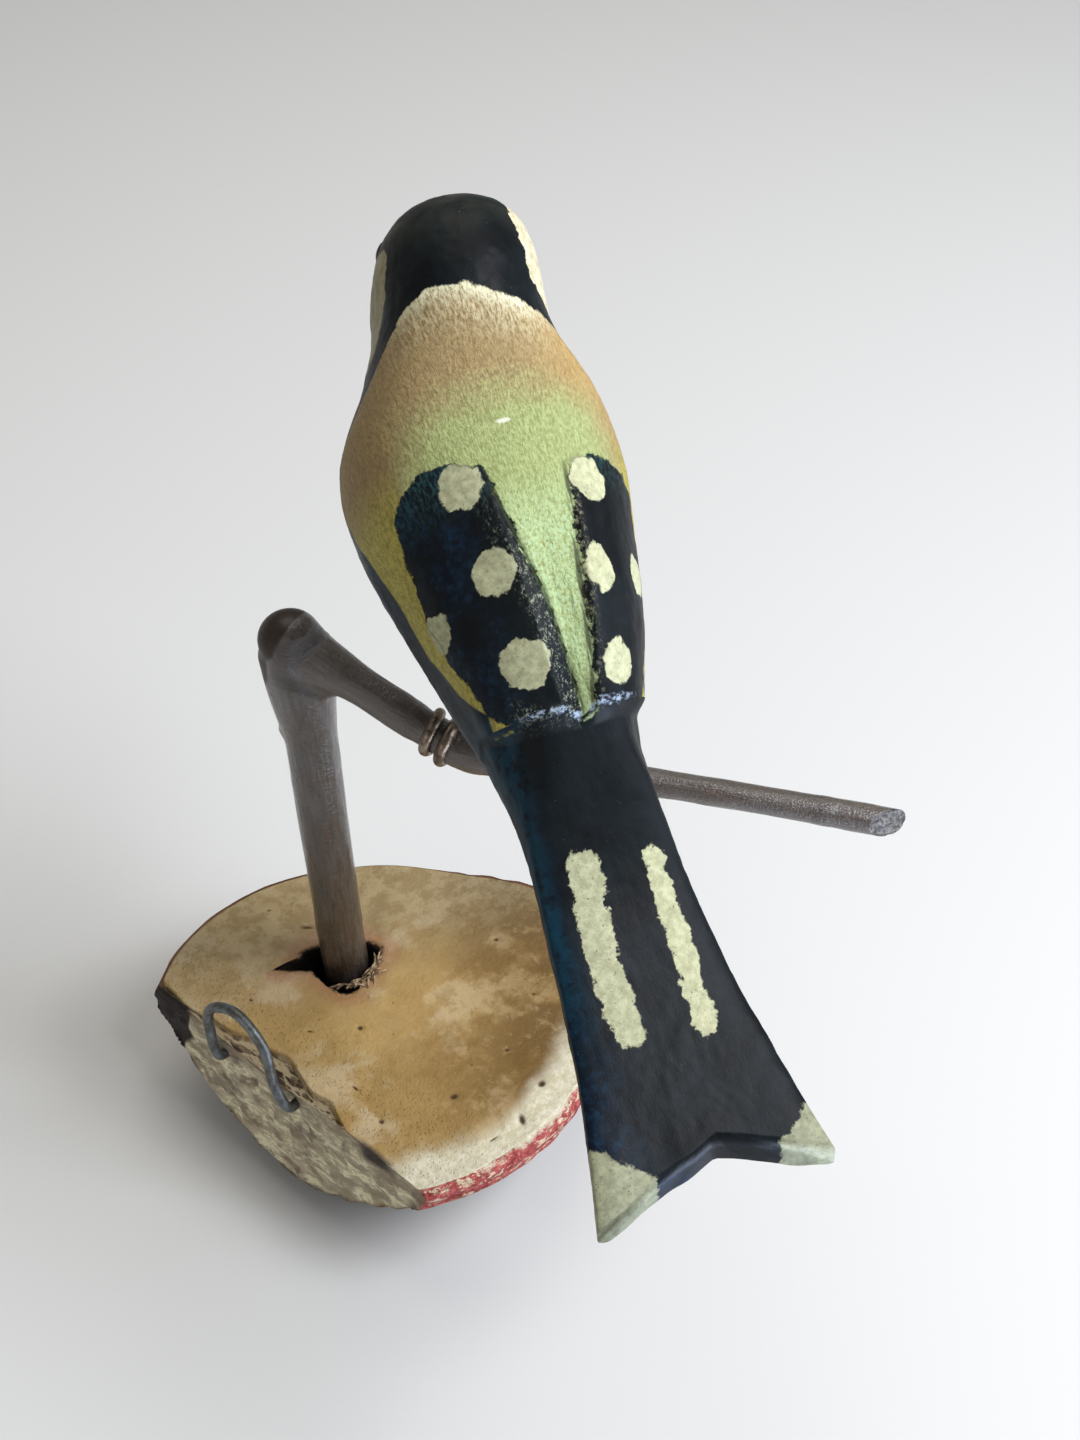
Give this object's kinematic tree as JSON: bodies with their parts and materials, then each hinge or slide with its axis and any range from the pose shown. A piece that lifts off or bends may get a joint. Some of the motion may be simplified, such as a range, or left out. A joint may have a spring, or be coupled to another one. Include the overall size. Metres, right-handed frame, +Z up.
{
  "type": "carved wooden bird ornament",
  "caption": "Carved and painted songbird on a forked twig set in a sawn bracket fungus, with wire feet and a wire hanging loop.",
  "frame": {"origin": "centre of the flat resting spot on the underside of the fungus base", "axes": "+Z up, +Y the way the bird faces, +X to the bird's right"},
  "size_m": [0.1024, 0.1149, 0.1575],
  "materials": {
    "fungus": "dried bracket fungus, pore side up, varnished, with a cream margin and a red rim",
    "bark": "glossy varnished twig with grey-brown bark",
    "painted_wood": "carved wood painted black, tan, green and cream, semi-gloss",
    "wire": "bare dulled steel wire"
  },
  "bodies": {
    "root": {"base": "fungus", "branch": "bark", "bird": "painted_wood", "leg_wire_left": "wire", "leg_wire_right": "wire", "hanging_loop": "wire"}
  },
  "joints": []
}
